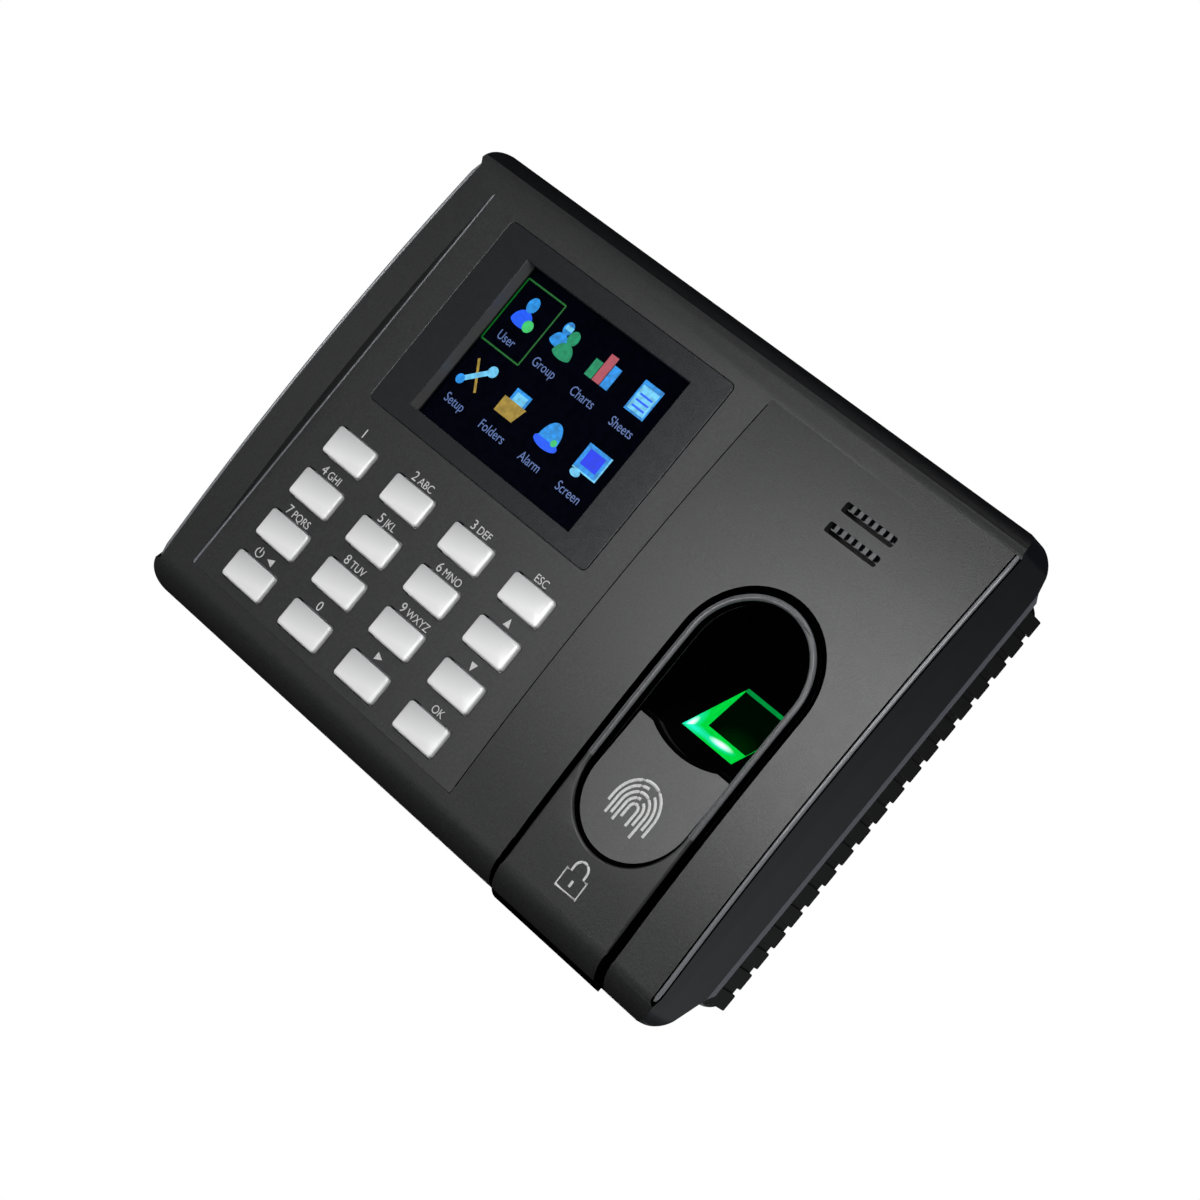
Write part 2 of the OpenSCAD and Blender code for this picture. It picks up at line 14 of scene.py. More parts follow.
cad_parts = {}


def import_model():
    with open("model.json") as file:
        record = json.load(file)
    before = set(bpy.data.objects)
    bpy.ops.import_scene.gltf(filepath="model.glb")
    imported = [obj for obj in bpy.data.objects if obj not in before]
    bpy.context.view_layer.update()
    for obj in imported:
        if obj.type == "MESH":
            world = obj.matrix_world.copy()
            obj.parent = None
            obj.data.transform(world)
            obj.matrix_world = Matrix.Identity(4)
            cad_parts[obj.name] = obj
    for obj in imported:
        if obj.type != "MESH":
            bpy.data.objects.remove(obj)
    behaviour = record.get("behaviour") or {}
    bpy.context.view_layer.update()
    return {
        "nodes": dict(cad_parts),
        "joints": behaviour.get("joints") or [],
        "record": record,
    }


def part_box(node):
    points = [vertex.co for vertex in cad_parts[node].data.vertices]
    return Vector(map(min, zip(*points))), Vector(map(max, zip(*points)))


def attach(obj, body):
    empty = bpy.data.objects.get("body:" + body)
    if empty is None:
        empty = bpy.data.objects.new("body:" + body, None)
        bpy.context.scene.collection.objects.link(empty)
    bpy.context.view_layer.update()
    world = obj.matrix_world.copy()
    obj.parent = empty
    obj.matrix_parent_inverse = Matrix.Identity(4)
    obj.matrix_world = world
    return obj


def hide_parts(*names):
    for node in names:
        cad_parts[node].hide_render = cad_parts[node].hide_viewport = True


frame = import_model()

MM = 0.001
CASE = "terminal"
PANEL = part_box("screen_bezel")[0].y + 0.15 * MM
CLEAR_OF_FRONT = -50
NODES = frame["nodes"]


# ---------- frame measures, in millimetres ----------

def measured(point):
    """A point of the frame as (x, depth, z), in millimetres."""
    return point.x / MM, (point.y - PANEL) / MM, point.z / MM


def limits(node):
    """Lowest and highest corner of a CAD node as (x, depth, z), in millimetres."""
    return [measured(corner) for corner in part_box(node)]


def at(x, depth, z):
    """The point of the frame at (x, depth, z), given in millimetres."""
    return Vector((x * MM, PANEL + depth * MM, z * MM))


def front_of(node):
    """A function that gives the depth of a CAD node's front surface at (x, z), in millimetres."""
    bm = bmesh.new()
    bm.from_mesh(NODES[node].data)
    tree = BVHTree.FromBMesh(bm)
    bm.free()

    def depth(x, z):
        hit = tree.ray_cast(at(x, CLEAR_OF_FRONT, z), Vector((0, 1, 0)))[0]
        return measured(hit)[1]

    return depth


# ---------- materials ----------

BROAD = 8            # how many times broader the wear of a surface is than its grain
WEAR = 0.012         # how far wear moves the roughness
GRAIN_HEIGHT = 0.05


def shader(name, colour, **sockets):
    """A material with one Principled shader, whose constant sockets are set by name."""
    material = bpy.data.materials.new(name)
    material.use_nodes = True
    principled = material.node_tree.nodes["Principled BSDF"]
    principled.inputs["Base Color"].default_value = (*colour, 1)
    for socket, value in sockets.items():
        principled.inputs[socket.replace("_", " ")].default_value = value
    return material


def noise(tree, scale, detail=2.0, stretch=(1, 1, 1)):
    """A noise texture in the piece's own coordinates; scale is in waves per metre."""
    coordinates = tree.nodes.new("ShaderNodeTexCoord")
    mapping = tree.nodes.new("ShaderNodeMapping")
    mapping.inputs["Scale"].default_value = stretch
    texture = tree.nodes.new("ShaderNodeTexNoise")
    texture.inputs["Scale"].default_value = scale
    texture.inputs["Detail"].default_value = detail
    tree.links.new(coordinates.outputs["Object"], mapping.inputs["Vector"])
    tree.links.new(mapping.outputs["Vector"], texture.inputs["Vector"])
    return texture


def ramp(tree, factor, stops):
    """Colours a factor by (position, colour) stops."""
    node = tree.nodes.new("ShaderNodeValToRGB")
    while len(node.color_ramp.elements) < len(stops):
        node.color_ramp.elements.new(0.5)
    for element, (position, colour) in zip(node.color_ramp.elements, stops):
        element.position = position
        element.color = (*colour, 1)
    tree.links.new(factor, node.inputs["Fac"])
    return node.outputs["Color"]


def blotched(tree, texture, low, high):
    """Colours a noise texture, whose values crowd round a half, from low to high."""
    return ramp(tree, texture.outputs["Fac"], [(0.3, low), (0.7, high)])


def grey(value):
    """A neutral colour."""
    return (value, value, value)


def shaded(colour, factor):
    """A colour made brighter or darker by a factor."""
    return tuple(min(1.0, c * factor) for c in colour)


def textured(name, colour, roughness, grain, bump, contrast=0.12, stretch=(1, 1, 1), **sockets):
    """A moulded or plated surface: grain in waves per metre drives colour, roughness and bump."""
    material = shader(name, colour, **sockets)
    tree = material.node_tree
    principled = tree.nodes["Principled BSDF"]
    fine = noise(tree, grain, stretch=stretch)
    broad = noise(tree, grain / BROAD, 3.0, stretch)
    speckle = blotched(tree, fine, shaded(colour, 1 - contrast), shaded(colour, 1 + contrast))
    tree.links.new(speckle, principled.inputs["Base Color"])
    worn = blotched(tree, broad, grey(roughness - WEAR), grey(min(1.0, roughness + WEAR)))
    tree.links.new(worn, principled.inputs["Roughness"])
    relief = tree.nodes.new("ShaderNodeBump")
    relief.inputs["Strength"].default_value = bump
    relief.inputs["Distance"].default_value = GRAIN_HEIGHT * MM
    tree.links.new(fine.outputs["Fac"], relief.inputs["Height"])
    tree.links.new(relief.outputs["Normal"], principled.inputs["Normal"])
    return material


def glowing(name, colour, strength, variation=0.25, scale=900):
    """A lit surface whose brightness varies a little."""
    material = shader(name, shaded(colour, 0.2), Roughness=0.4, Emission_Strength=strength)
    tree = material.node_tree
    tint = blotched(tree, noise(tree, scale), shaded(colour, 1 - variation), colour)
    tree.links.new(tint, tree.nodes["Principled BSDF"].inputs["Emission Color"])
    return material


def paint_key_reflection(material):
    """Paints a reflection onto a keycap: a painted highlight that turns its colour from grey at the
    top left corner to its full white at the bottom right.
    """
    tree = material.node_tree
    place = tree.nodes.new("ShaderNodeTexCoord")
    across = tree.nodes.new("ShaderNodeVectorMath")
    across.operation = "DOT_PRODUCT"
    across.inputs[1].default_value = (0.25, 0, -0.75)
    share = tree.nodes.new("ShaderNodeMapRange")
    share.inputs["From Min"].default_value = -0.72
    share.inputs["From Max"].default_value = 0.1
    tree.links.new(place.outputs["Generated"], across.inputs[0])
    tree.links.new(across.outputs["Value"], share.inputs["Value"])
    # painted reflection: grey at the top left of the cap, white at the bottom right
    sheen = ramp(tree, share.outputs["Result"], [(0.0, (0.5, 0.505, 0.515)), (0.75, grey(1.0))])
    tree.links.new(sheen, tree.nodes["Principled BSDF"].inputs["Base Color"])


charcoal = textured("charcoal_plastic", (0.024, 0.0245, 0.0255), 0.36, 2600, 0.5, 0.3)
# a much lighter copy of the charcoal, for painted highlights along edges and on the rear lip of the
# flanks
charcoal_edge = textured("charcoal_edge", (0.13, 0.135, 0.155), 0.3, 2600, 0.1, 0.05)
# a darker, bluer copy of the charcoal: painted shade on the flanks and in the speaker slots
side_charcoal = textured("side_charcoal", (0.006, 0.0075, 0.011), 0.32, 2600, 0.1, 0.08)
# a lighter copy of the charcoal for the edge beads: a painted highlight
bead_plastic = textured("bead_plastic", (0.2, 0.205, 0.22), 0.22, 3000, 0.03, 0.04,
                        Specular_IOR_Level=0.8)
# a nearly black copy of the charcoal: painted shade on the top roll
painted_shade_roll = textured("roll_plastic", (0.004, 0.0042, 0.005), 0.4, 2600, 0.3, 0.2,
                      Specular_IOR_Level=0.15)
# a lighter copy of the charcoal: a painted highlight on the rounded ridge round the well
ring_plastic = textured("ring_plastic", (0.13, 0.135, 0.145), 0.28, 3000, 0.05, 0.04)
# near-black: painted shade in the groove, the well and the side rebates, and on the step round the
# guide plate; also the colour of the dark panel seam
groove_black = textured("groove_black", grey(0.001), 0.9, 2600, 0.2, 0.2,
                        Specular_IOR_Level=0.0)
bezel_plastic = textured("bezel_plastic", (0.013, 0.014, 0.017), 0.27, 3200, 0.06, 0.06)
# a light grey for the walls of the screen window: painted light where they face the light
window_wall = textured("window_wall", grey(0.13), 0.5, 3200, 0.1, 0.06)
black_plastic = textured("black_plastic", grey(0.005), 0.5, 2200, 0.3, 0.2,
                         Specular_IOR_Level=0.25)
silver_key = textured("silver_key", (0.95, 0.955, 0.965), 0.24, 1500, 0.03, 0.02, Metallic=0.1)
# each keycap gets a painted reflection across its face
paint_key_reflection(silver_key)
steel = textured("bright_steel", (0.6, 0.61, 0.63), 0.3, 900, 0.08, 0.08, (1, 1, 12),
                 Metallic=1.0)
gold = textured("contact_gold", (0.83, 0.6, 0.22), 0.25, 900, 0.05, 0.05, Metallic=1.0)
zinc = textured("zinc_steel", (0.55, 0.57, 0.6), 0.42, 700, 0.04, 0.1, Metallic=0.9)
rubber = textured("black_rubber", grey(0.012), 0.8, 1800, 0.3)
silicone = textured("grey_rubber", grey(0.3), 0.6, 1500, 0.2)
board = textured("green_board", (0.02, 0.16, 0.06), 0.35, 1100, 0.1, 0.2)
film = textured("amber_film", (0.55, 0.28, 0.05), 0.3, 600, 0.05, 0.1)
resin = textured("chip_resin", grey(0.02), 0.45, 2600, 0.2)
blue_plastic = textured("blue_plastic", (0.03, 0.12, 0.35), 0.3, 1500, 0.1)
ivory = textured("ivory_plastic", (0.75, 0.72, 0.62), 0.45, 1500, 0.1, 0.04)
cone = textured("speaker_cone", grey(0.02), 0.7, 1300, 0.4)
legend_ink = textured("legend_ink", grey(0.6), 0.6, 1800, 0.1, 0.2)
mark_ink = textured("mark_ink", grey(0.72), 0.5, 1800, 0.1, 0.15)
lamp = glowing("lamp_resin", (0.45, 1.0, 0.5), 2.0)
glass = shader("optical_glass", (0.92, 1.0, 0.95), Roughness=0.03, Transmission_Weight=1.0,
               IOR=1.5)
screen_black = textured("display_glass", (0.0006, 0.001, 0.004), 0.1, 400, 0.0, 0.3,
                        Specular_IOR_Level=0.06)

PAINT = {
    "black_plastic": black_plastic, "charcoal_plastic": charcoal, "surround_plastic": charcoal,
    "bezel_plastic": bezel_plastic, "silver_key": silver_key, "display_glass": screen_black,
    "optical_glass": glass, "lamp_resin": lamp, "green_board": board, "amber_film": film,
    "chip_resin": resin, "blue_plastic": blue_plastic, "ivory_plastic": ivory,
    "speaker_cone": cone, "black_rubber": rubber, "grey_rubber": silicone,
    "bright_steel": steel, "zinc_steel": zinc,
}


def paint_cad_nodes():
    """Gives every CAD node the material of its record slot, and paints the inside of the well black
    as painted shade.
    """
    for part in frame["record"]["subparts"]:
        for slot in NODES[part["node"]].material_slots:
            slot.material = PAINT[part["material_slot"]]
    # painted shade: the inside of the well is made black
    NODES["reader_housing"].material_slots[0].material = groove_black


# ---------- mesh helpers ----------

SMOOTH_BELOW = math.radians(40)
SHARP_ABOVE = math.radians(28)


def add_piece(name, bm, materials, body, replaced=()):
    """Turns a bmesh into a piece that rides on a body."""
    mesh = bpy.data.meshes.new(name)
    bm.to_mesh(mesh)
    bm.free()
    for material in materials:
        mesh.materials.append(material)
    piece = bpy.data.objects.new(name, mesh)
    bpy.context.scene.collection.objects.link(piece)
    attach(piece, body)
    if replaced:
        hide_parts(*replaced)
    return piece


def smooth(bm):
    """Shades smooth, with edges bent by SMOOTH_BELOW or more kept sharp."""
    for face in bm.faces:
        face.smooth = True
    for edge in bm.edges:
        if len(edge.link_faces) == 2:
            edge.smooth = edge.calc_face_angle(0) < SMOOTH_BELOW


def weighted(piece):
    """Keeps large flat faces flat in shading next to rounded edges."""
    modifier = piece.modifiers.new("weighted", "WEIGHTED_NORMAL")
    modifier.keep_sharp = True
    return piece


def cleaned(node, flat):
    """A CAD node's mesh with doubled points merged and facets within flat degrees joined."""
    bm = bmesh.new()
    bm.from_mesh(NODES[node].data)
    bmesh.ops.remove_doubles(bm, verts=bm.verts, dist=0.002 * MM)
    bmesh.ops.dissolve_limit(bm, angle_limit=math.radians(flat), verts=bm.verts, edges=bm.edges)
    return bm


def softened(node, name, materials, rounds, dress=None, flat=0.03):
    """A copy of a CAD node with rounded edges. rounds lists (test, radius in mm, steps, material
    index, profile); test takes the middle of an edge as x, depth and z in millimetres. dress may
    work on the rounded mesh before it becomes a piece."""
    bm = cleaned(node, flat)
    for face in bm.faces:
        face.material_index = 0
    for test, radius, steps, material, profile in rounds:
        bmesh.ops.bevel(bm, geom=sharp_edges(bm, test), offset=radius * MM, offset_type="OFFSET",
                        segments=steps, profile=profile, affect="EDGES", clamp_overlap=False,
                        loop_slide=True, material=material)
    if dress:
        dress(bm)
    smooth(bm)
    return weighted(add_piece(name, bm, materials, CASE, (node,)))


def sharp_edges(bm, test):
    """Edges bent by more than SHARP_ABOVE whose middle passes the test."""
    chosen = []
    for edge in bm.edges:
        if len(edge.link_faces) == 2 and edge.calc_face_angle(0) > SHARP_ABOVE:
            middle = (edge.verts[0].co + edge.verts[1].co) / 2
            if test(*measured(middle)):
                chosen.append(edge)
    return chosen


def rounded_outline(half_x, half_z, radius):
    """Points of a rectangle with round corners about the origin, in millimetres."""
    steps = 6
    points = []
    for quarter, (sx, sz) in enumerate([(1, 1), (-1, 1), (-1, -1), (1, -1)]):
        for i in range(steps + 1):
            angle = math.radians(90 * (quarter + i / steps))
            points.append((sx * (half_x - radius) + radius * math.cos(angle),
                           sz * (half_z - radius) + radius * math.sin(angle)))
    return points


def arc_points(x, z, rx, rz, start, end, steps=20):
    """Points on an ellipse about (x, z), from start to end degrees."""
    return [(x + rx * math.cos(a), z + rz * math.sin(a))
            for a in (math.radians(start + (end - start) * k / steps) for k in range(steps + 1))]


def add_loop(bm, points):
    """New vertices at points in metres."""
    return [bm.verts.new(p) for p in points]


def bridge(bm, loop_a, loop_b):
    """Joins two loops of equal length by quads."""
    count = len(loop_a)
    for i in range(count):
        j = (i + 1) % count
        bm.faces.new((loop_a[i], loop_a[j], loop_b[j], loop_b[i]))


def cap(bm, loop, material=0):
    """Closes a loop with one face."""
    face = bm.faces.new(loop)
    face.material_index = material
    return face


def tube(bm, path, radius, sides):
    """Sweeps a circle of a radius in mm along a path of points in metres, with closed ends."""
    turn = [2 * math.pi * k / sides for k in range(sides)]
    loops = []
    for i, point in enumerate(path):
        along = (path[min(i + 1, len(path) - 1)] - path[max(i - 1, 0)]).normalized()
        side = Vector((1, 0, 0)) if abs(along.x) < 0.9 else Vector((0, 1, 0))
        u = along.cross(side).normalized()
        v = along.cross(u)
        loops.append(add_loop(bm, [
            point + radius * MM * (math.cos(a) * u + math.sin(a) * v) for a in turn]))
    for low, high in zip(loops, loops[1:]):
        bridge(bm, low, high)
    cap(bm, loops[0])
    cap(bm, loops[-1])


def box_into(bm, low, high):
    """Adds a closed box between two (x, depth, z) corners in millimetres."""
    x0, d0, z0 = low
    x1, d1, z1 = high
    front = add_loop(bm, [at(x0, d0, z0), at(x1, d0, z0), at(x1, d0, z1), at(x0, d0, z1)])
    back = add_loop(bm, [at(x0, d1, z0), at(x1, d1, z0), at(x1, d1, z1), at(x0, d1, z1)])
    bridge(bm, front, back)
    cap(bm, front)
    cap(bm, back)


def finished(bm):
    """Turns every face of a new mesh outwards and shades it."""
    bmesh.ops.recalc_face_normals(bm, faces=bm.faces)
    smooth(bm)
    return bm


# ---------- housing ----------

HALF_W, SIDE_D, HALF_H = limits("front_shell")[1]
FLAT = 0.02          # edges of the flat panel are within this depth
PANEL_SPLIT = -78    # the middle of the panel's left edge is left of this, the others right of it
FACET = 0.2          # degrees between facets of the curved front
REBATE = 1.35
BEAD_R = 0.55
BEAD_STEPS = 40
LIP_D = 18.9
FLANK = [(2.2, 0.35), (4.8, 0.1), (6.8, 0.4), (LIP_D, 0.4), (19.5, 0.02)]   # (depth, sink)
GROOVE_REACH, GROOVE_D = 20.2, 16
PRISM_LOW, PRISM_HIGH = limits("reader_prism")
WELL_X = (PRISM_LOW[0] + PRISM_HIGH[0]) / 2
ARCH_Z = 5.8         # centre of the arch round the well


def on_side_edge(x, d, z):
    """True on the straight edge between the front and the side, which ends short of the corners."""
    return abs(x) > HALF_W - 0.3 and abs(z) < HALF_H - 6.5 and d < 12


def sag(z):
    """Depth of the curved front at a height z."""
    return z * z / 1280


def sink_flanks(bm):
    """Sinks both flanks between their edges, with a soft ridge and a raised lip at the rear."""
    for depth, sink in FLANK:
        flank = [f for f in bm.faces if abs(f.normal.x) > 0.8 and f.material_index == 0
                 and abs(f.calc_center_median().x) > (HALF_W - 1) * MM]
        around = set(flank)
        around.update(e for f in flank for e in f.edges)
        around.update(v for f in flank for v in f.verts)
        cut = bmesh.ops.bisect_plane(bm, geom=list(around), plane_co=at(0, depth, 0),
                                     plane_no=(0, 1, 0), dist=0.0005 * MM)["geom_cut"]
        for vert in cut:
            if isinstance(vert, bmesh.types.BMVert) and abs(vert.co.z) < (HALF_H - 6) * MM:
                vert.co.x -= math.copysign(sink * MM, vert.co.x)
    bm.normal_update()


def front_cover():
    """The front shell with rounded edges; a small rebate along its side edges takes the bead."""
    # black is painted shade, flank and roll are darker copies of the charcoal as painted shade, lip
    # is a lighter copy as a painted highlight
    plain, black, flank, lip, roll = range(5)

    def rear_edge(x, d, z):
        return d > SIDE_D - 2 and (abs(x) > HALF_W - 6 or abs(z) > HALF_H - 16)

    def panel_left(x, d, z):
        return abs(d) < FLAT and 2 - HALF_W < x < PANEL_SPLIT

    def panel_edge(x, d, z):
        return abs(d) < FLAT and PANEL_SPLIT <= x < HALF_W - 2

    def dress(bm):
        """Shapes the flanks, then paints painted shade on them, on the top roll and in the groove,
        and a painted highlight on their lip.
        """
        sink_flanks(bm)
        for face in bm.faces:
            x, depth, z = measured(face.calc_center_median())
            off_front = face.normal.y > -0.6
            if face.material_index == plain:
                if abs(x) > HALF_W - 5.2 and abs(face.normal.x) > 0.15 and off_front:
                    face.material_index = lip if depth > LIP_D else flank
                elif face.normal.z > 0.3 and z > HALF_H - 9:
                    face.material_index = roll
            reach = math.hypot(x - WELL_X, max(0, z - ARCH_Z))
            sunk = off_front or depth > sag(z) + 0.1
            if reach < GROOVE_REACH and depth < GROOVE_D and sunk:
                face.material_index = black

    rounds = [
        # painted shade in the side rebates; painted highlights along the rear edge and the panel's
        # left edge
        (on_side_edge, REBATE, 4, black, 0.12),
        (rear_edge, 0.45, 2, lip, 0.5),
        (panel_left, 0.4, 2, lip, 0.5),
        (panel_edge, 0.2, 2, plain, 0.5),
    ]
    return softened("front_shell", "front_cover",
                    [charcoal, groove_black, side_charcoal, charcoal_edge, painted_shade_roll],
                    rounds, dress, FACET)


def edge_beads():
    """A rounded bead in each side rebate, which follows the curved front and sinks in deeper at
    both ends."""
    inset, end_inset = 0.65, 1.0
    source = cleaned("front_shell", FACET)
    edge_verts = {v for e in sharp_edges(source, on_side_edge) for v in e.verts}
    bm = bmesh.new()
    for side in (-1, 1):
        line = sorted((v.co.z, v.co.y) for v in edge_verts if v.co.x * side > 0)
        foot, tip = line[0][0], line[-1][0]
        points = []
        for i in range(BEAD_STEPS + 1):
            z = foot + (tip - foot) * i / BEAD_STEPS
            k = max(j for j in range(len(line) - 1) if line[j][0] <= z or j == 0)
            share = (z - line[k][0]) / (line[k + 1][0] - line[k][0])
            y = line[k][1] + share * (line[k + 1][1] - line[k][1])
            sink = (inset if 0 < i < BEAD_STEPS else end_inset) * MM
            points.append(Vector((side * (HALF_W * MM - sink), y + sink, z)))
        tube(bm, points, BEAD_R, 12)
    source.free()
    # the beads are a lighter copy of the charcoal: a painted highlight
    return add_piece("edge_beads", finished(bm), [bead_plastic], CASE)


def speaker_teeth():
    """The short bars that close the upper part of each speaker slot."""
    low, high = limits("speaker")
    middle_x, middle_z = (low[0] + high[0]) / 2, (low[2] + high[2]) / 2
    slot_w, slot_h, slot_pitch = 16, 2.8, 5.7
    teeth, tooth_w = 6, 1.15
    back = 1.8
    depth = front_of("front_shell")
    bm = bmesh.new()
    for slot_z in (middle_z - slot_pitch / 2, middle_z + slot_pitch / 2):
        front = depth(middle_x, slot_z + slot_h)
        for i in range(teeth):
            x = middle_x - slot_w / 2 + slot_w * (i + 1) / (teeth + 1)
            box_into(bm, (x - tooth_w / 2, front + 0.25, slot_z - 0.2),
                     (x + tooth_w / 2, front + back, slot_z + slot_h / 2 + 0.1))
        box_into(bm, (middle_x - slot_w / 2 - 0.1, front + 1.2, slot_z - 0.25),
                 (middle_x + slot_w / 2 + 0.1, front + back, slot_z + 0.05))
    # the teeth take the darker copy of the charcoal: painted shade in the slots
    return add_piece("speaker_teeth", finished(bm), [side_charcoal], CASE)


def back_cover():
    """The rear housing with softened ribs and a softened rim at the wall."""
    def rib_edge(x, d, z):
        return abs(x) > HALF_W - 3

    def rim(x, d, z):
        return d > 33 and abs(x) > 80

    return softened("rear_housing", "back_cover", [black_plastic],
                    [(rib_edge, 0.12, 2, 0, 0.5), (rim, 0.2, 2, 0, 0.5)])


# ---------- keys ----------

BODY_END = "_cap"
KEYS = [j["child"].removesuffix(BODY_END) for j in frame["joints"] if j["name"].startswith("key_")]
FLANGE = 0.9
SKIRT_D = 2.6
STEM_R = 1.4


def key_cap(node):
    """A keycap: flange, rounded skirt, and a top that is slightly domed across."""
    low, high = limits(node)
    centre_x, centre_z = (low[0] + high[0]) / 2, (low[2] + high[2]) / 2
    half_x, half_z = (high[0] - low[0]) / 2 - FLANGE, (high[2] - low[2]) / 2 - FLANGE
    front, back = low[1], high[1]
    edge, corner, dome_h = 0.45, 0.9, 0.22
    # each ring is how far it stands outside the side of the cap, and its depth
    rings = [(FLANGE, SKIRT_D + 1), (FLANGE, SKIRT_D), (0, SKIRT_D), (0, front + edge)]
    rings += [(-edge * (1 - math.cos(a)), front + edge * (1 - math.sin(a)))
              for a in (math.radians(18 * k) for k in range(1, 6))]
    rings += [(-edge - inner, front) for inner in (0.6, 1.4, 2.4, 3.0)]
    bm = bmesh.new()
    loops = []
    for grow, depth in rings:
        outline = rounded_outline(half_x + grow, half_z + grow, max(0.25, corner + grow))
        points = []
        for x, z in outline:
            dome = dome_h * (x / half_x) ** 2 if depth < front + edge else 0
            points.append(at(centre_x + x, depth + dome, centre_z + z))
        loops.append(add_loop(bm, points))
    for a, b in zip(loops, loops[1:]):
        bridge(bm, a, b)
    cap(bm, loops[0])
    cap(bm, loops[-1])
    turn = [2 * math.pi * k / 20 for k in range(20)]
    stem = [add_loop(bm, [at(centre_x + STEM_R * math.cos(a), d, centre_z + STEM_R * math.sin(a))
                          for a in turn])
            for d in (SKIRT_D + 1, back)]
    bridge(bm, *stem)
    cap(bm, stem[1])
    return add_piece(node + "_top", finished(bm), [silver_key], node + BODY_END,
                     (node,))


# ---------- legends ----------

INK = 0.012          # half the thickness of printed ink


def text_mesh(text, size, x, depth, z, align="CENTER", squeeze=1.0):
    """A mesh of flat lettering that faces the viewer, with its foot at z."""
    curve = bpy.data.curves.new("lettering", "FONT")
    curve.body = text
    curve.size = size * MM
    curve.align_x = align
    curve.extrude = INK * MM
    holder = bpy.data.objects.new("lettering", curve)
    bpy.context.scene.collection.objects.link(holder)
    bpy.context.view_layer.update()
    depsgraph = bpy.context.evaluated_depsgraph_get()
    mesh = bpy.data.meshes.new_from_object(holder.evaluated_get(depsgraph))
    bpy.data.objects.remove(holder)
    stand = Matrix.Translation(at(x, depth, z)) @ Matrix.Rotation(math.pi / 2, 4, "X")
    mesh.transform(stand @ Matrix.Diagonal((squeeze, 1, 1, 1)))
    return mesh


def triangle_mark(bm, x, z, angle, size, depth):
    """A flat arrowhead pointing along angle, in degrees from +X; size is its corners' radius."""
    corners = [math.radians(angle + a) for a in (0, 130, 230)]
    front = [at(x + size * math.cos(a), depth, z + size * math.sin(a)) for a in corners]
    back = [p + Vector((0, 2 * INK * MM, 0)) for p in front]
    loops = add_loop(bm, front), add_loop(bm, back)
    bridge(bm, *loops)
    cap(bm, loops[0])
    cap(bm, loops[1])


LEGENDS = {
    "key_1": ("1", ""), "key_2": ("2", "ABC"), "key_3": ("3", "DEF"), "key_esc": ("", "ESC"),
    "key_4": ("4", "GHI"), "key_5": ("5", "JKL"), "key_6": ("6", "MNO"),
    "key_7": ("7", "PQRS"), "key_8": ("8", "TUV"), "key_9": ("9", "WXYZ"), "key_0": ("0", ""),
    "key_ok": ("", "OK"),
}
ARROWS = {"key_up": 90, "key_down": -90, "key_right": 0, "key_power": 180}


def power_mark(bm, x, z, depth):
    """A ring that is open at the top, with an upright bar in the gap."""
    ring_r, line_r = 1.2, 0.17
    ring = arc_points(x, z, ring_r, ring_r, 55, -235, 18)
    tube(bm, [at(px, depth, pz) for px, pz in ring], line_r, 6)
    tube(bm, [at(x, depth, z), at(x, depth, z + 1.5)], line_r, 6)


def key_legends():
    """Generic phone-style legends printed above the keys."""
    digit_size, digit_step = 3.5, 2.4
    letter_size, letter_step = 2.9, 1.55
    clearance, mark_rise = 0.75, 1.3
    depth = -0.015
    bm = bmesh.new()
    for node in KEYS:
        low, high = limits(node)
        x = (low[0] + high[0]) / 2
        z = high[2] - FLANGE + clearance
        digit, letters = LEGENDS.get(node, ("", ""))
        left = x - (digit_step * len(digit) + letter_step * len(letters)) / 2
        if digit:
            bm.from_mesh(text_mesh(digit, digit_size, left, depth, z, "LEFT"))
        if letters:
            bm.from_mesh(text_mesh(letters, letter_size, left + digit_step * len(digit), depth, z,
                                   "LEFT", 0.92))
        shift = 2.2 if node == "key_power" else 0
        if node in ARROWS:
            triangle_mark(bm, x + shift, z + mark_rise, ARROWS[node], 1.35, depth)
        if node == "key_power":
            power_mark(bm, x - shift, z + mark_rise, depth)
    return add_piece("key_legends", finished(bm), [legend_ink], CASE)


# ---------- screen ----------

GLASS_LOW, GLASS_HIGH = limits("display_glass")
HIDDEN_X, HIDDEN_Z = 3.8, 2.8      # how far the glass reaches behind the bezel
WINDOW = (GLASS_LOW[0] + HIDDEN_X, GLASS_HIGH[0] - HIDDEN_X,
          GLASS_LOW[2] + HIDDEN_Z, GLASS_HIGH[2] - HIDDEN_Z)
PICTURE_D = GLASS_LOW[1]

ICON_PAINT = {
    "blue": glowing("icon_blue", (0.0, 0.09, 0.9), 1.0),
    "cyan": glowing("icon_cyan", (0.01, 0.3, 0.85), 1.0, 0.6, 700),
    "pale": glowing("icon_pale", (0.16, 0.62, 0.95), 1.0, 0.5, 700),
    "green": glowing("icon_green", (0.0, 0.28, 0.12), 1.0, 0.5, 700),
    "leaf": glowing("icon_leaf", (0.04, 0.55, 0.14), 1.0),
    "red": glowing("icon_red", (0.4, 0.07, 0.1), 1.0),
    "gold": glowing("icon_gold", (0.36, 0.24, 0.03), 1.0, 0.5, 700),
    "navy": glowing("icon_navy", (0.0, 0.03, 0.8), 1.0),
    "frame": glowing("selection_green", (0.0, 0.11, 0.01), 1.0),
    "words": glowing("caption_blue", (0.09, 0.15, 0.36), 1.0),
}
ICON_ORDER = list(ICON_PAINT)


